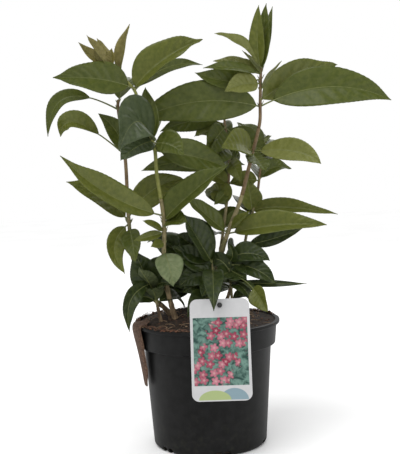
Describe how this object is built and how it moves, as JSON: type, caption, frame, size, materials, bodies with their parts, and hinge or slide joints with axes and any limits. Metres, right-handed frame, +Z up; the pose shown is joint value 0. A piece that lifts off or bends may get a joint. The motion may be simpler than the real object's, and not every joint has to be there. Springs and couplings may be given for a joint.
{
  "type": "potted weigela shrub",
  "caption": "Young weigela shrub with upright stems and pointed leaves in a round black nursery pot, with a plant label hung at the front.",
  "frame": {"origin": "centre of the pot's flat underside", "axes": "+Z up; the viewer and the label are on the -Y side, and the picture's right is +X"},
  "size_m": [0.3908, 0.2147, 0.507],
  "materials": {
    "pot_plastic": "matte black, dusty near the foot",
    "peat": "rough, moist",
    "bark": "matte",
    "leaf": "satin, veined",
    "dead_leaf": "matte, fibrous",
    "label_plastic": "satin white with a printed picture",
    "tie_plastic": "satin black"
  },
  "bodies": {
    "root": {"pot": "pot_plastic", "potting_mix": "peat", "stem_left": "bark", "stem_middle": "bark", "stem_right": "bark", "stem_centre": "bark", "stem_side": "bark", "stem_low_left": "bark", "stem_low_middle": "bark", "stem_low_right": "bark", "stem_low_back": "bark", "left_foliage": "leaf", "left_crown": "leaf", "middle_foliage": "leaf", "middle_crown": "leaf", "right_foliage": "leaf", "right_crown": "leaf", "centre_foliage": "leaf", "side_foliage": "leaf", "low_left_foliage": "leaf", "low_middle_foliage": "leaf", "low_right_foliage": "leaf", "low_back_foliage": "leaf", "withered_leaf": "dead_leaf", "label": "label_plastic", "label_tie": "tie_plastic"}
  },
  "joints": []
}
